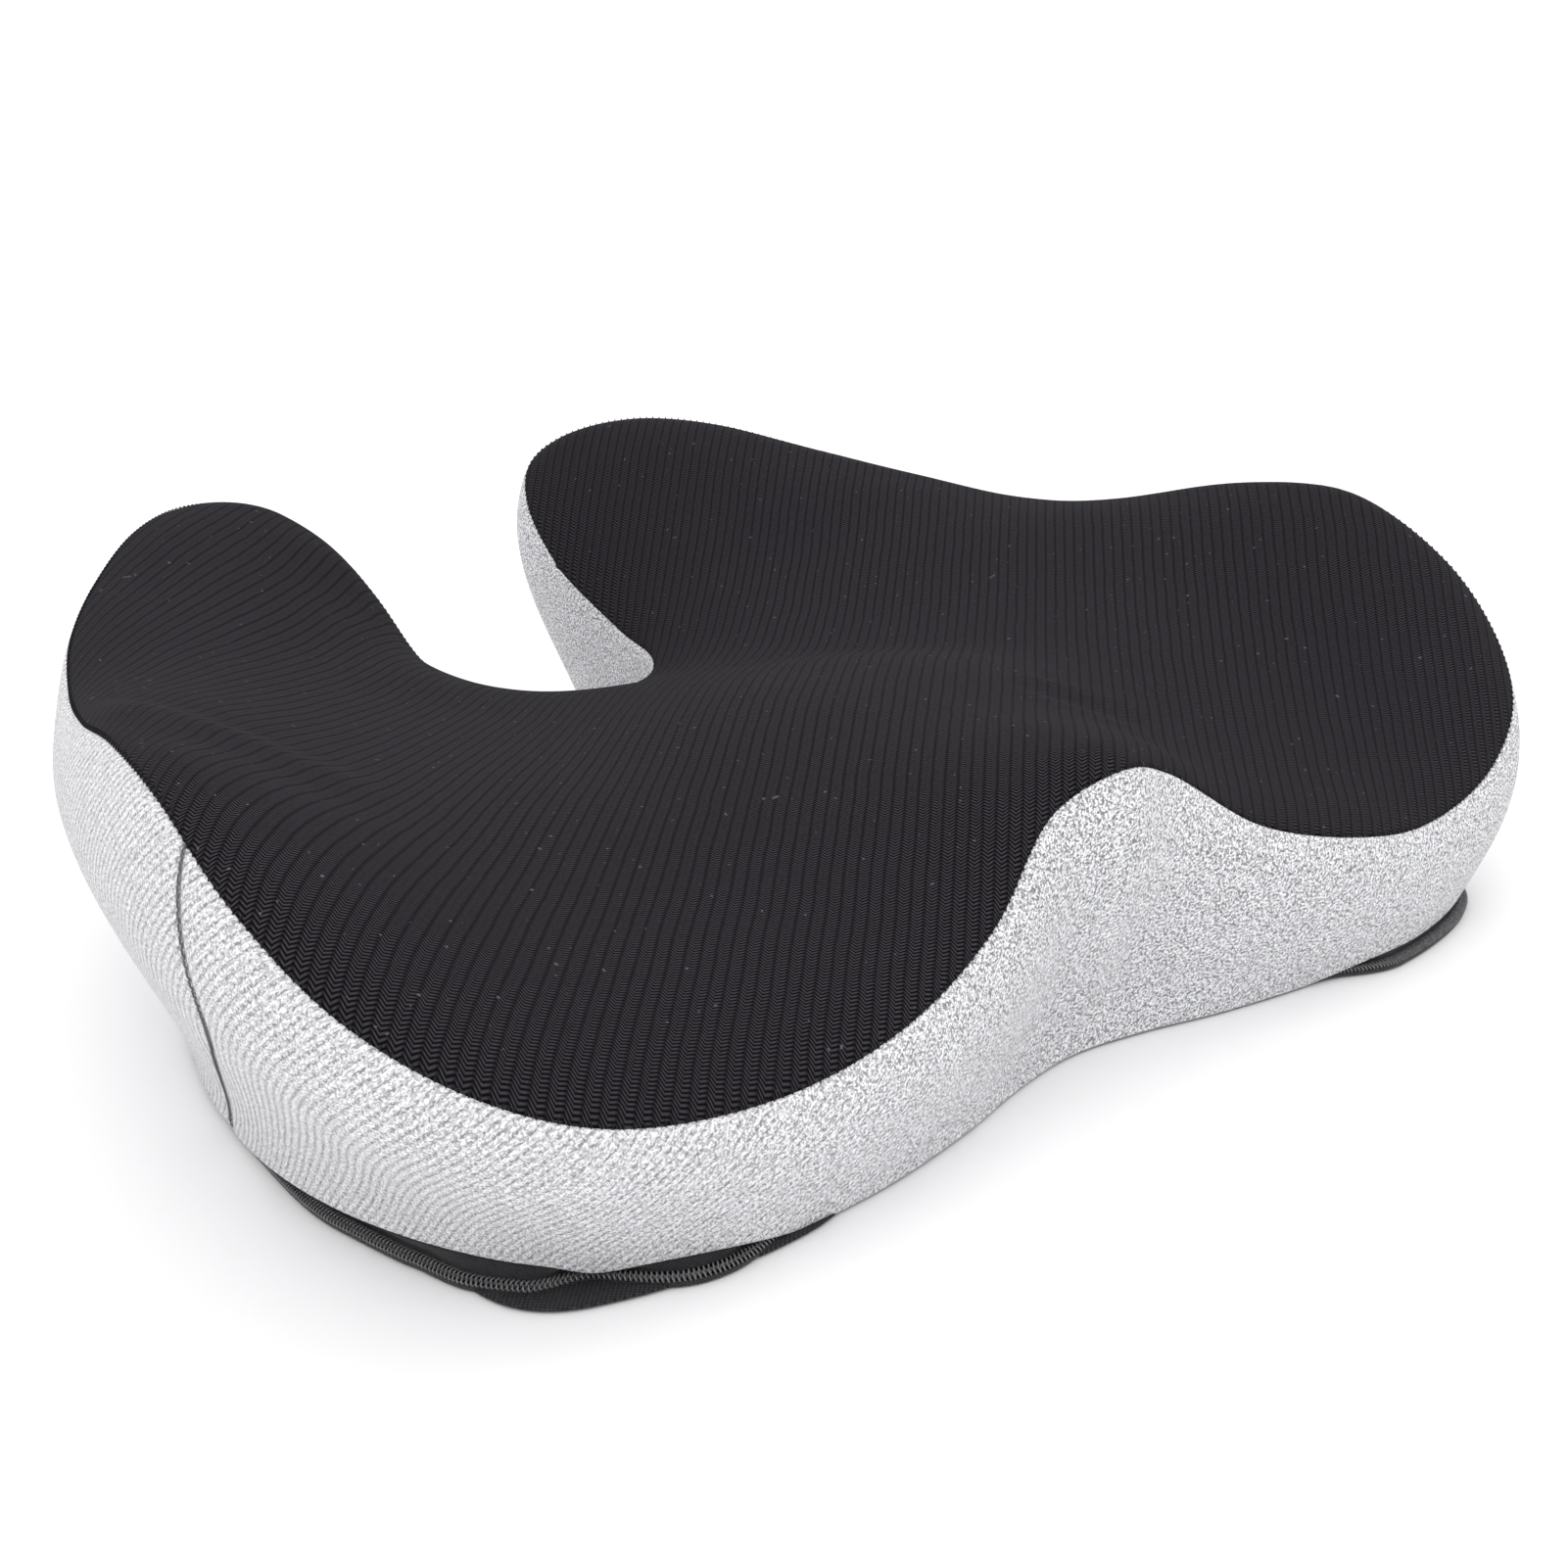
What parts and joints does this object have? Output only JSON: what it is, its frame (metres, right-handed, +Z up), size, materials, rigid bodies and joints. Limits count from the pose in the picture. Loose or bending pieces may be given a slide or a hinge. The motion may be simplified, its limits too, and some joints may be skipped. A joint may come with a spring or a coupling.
{
  "type": "coccyx seat cushion",
  "caption": "Sculpted foam seat cushion with raised pommel, thigh lobes, rear wings and an open tailbone notch, in a two-tone knit cover that zips off at the base.",
  "frame": {"origin": "centre of the footprint, on the plane the cushion rests on", "axes": "+X towards the sitter's left, -Y the front edge with the thigh lobes, +Y the rear with the tailbone notch, +Z up"},
  "size_m": [0.4518, 0.3718, 0.123],
  "materials": {
    "foam": "open-cell memory foam, matte",
    "black_knit": "ribbed knit, matte with a faint sheen",
    "grey_knit": "heather knit, matte",
    "base_fabric": "non-slip dotted fabric",
    "zip_tape": "woven polyester tape",
    "zip_coil": "satin nylon coil",
    "zip_metal": "black enamel"
  },
  "bodies": {
    "cushion": {"foam_core": "foam", "top_panel": "black_knit", "front_side_band": "grey_knit", "rear_side_band": "grey_knit", "base_panel": "base_fabric", "zipper_tape_upper": "zip_tape", "zipper_tape_lower": "zip_tape", "zipper_coil_upper": "zip_coil", "zipper_coil_lower": "zip_coil", "zipper_top_stop_upper": "zip_metal", "zipper_top_stop_lower": "zip_metal", "zipper_bottom_stop": "zip_metal"},
    "zipper_slider": {"zipper_slider_body": "zip_metal"},
    "zipper_pull": {"zipper_pull_tab": "zip_metal"}
  },
  "joints": [
    {"name": "zipper_slide", "type": "slide", "parent": "cushion", "child": "zipper_slider", "axis": [-0.1445, 0.9895, 0], "range_m": [0, 0.018]},
    {"name": "pull_hinge", "type": "hinge", "parent": "zipper_slider", "child": "zipper_pull", "pos_m": [0.20073, -0.04054, 0.00525], "axis": [-0.9895, -0.1445, 0], "range_deg": [0, 165]}
  ]
}
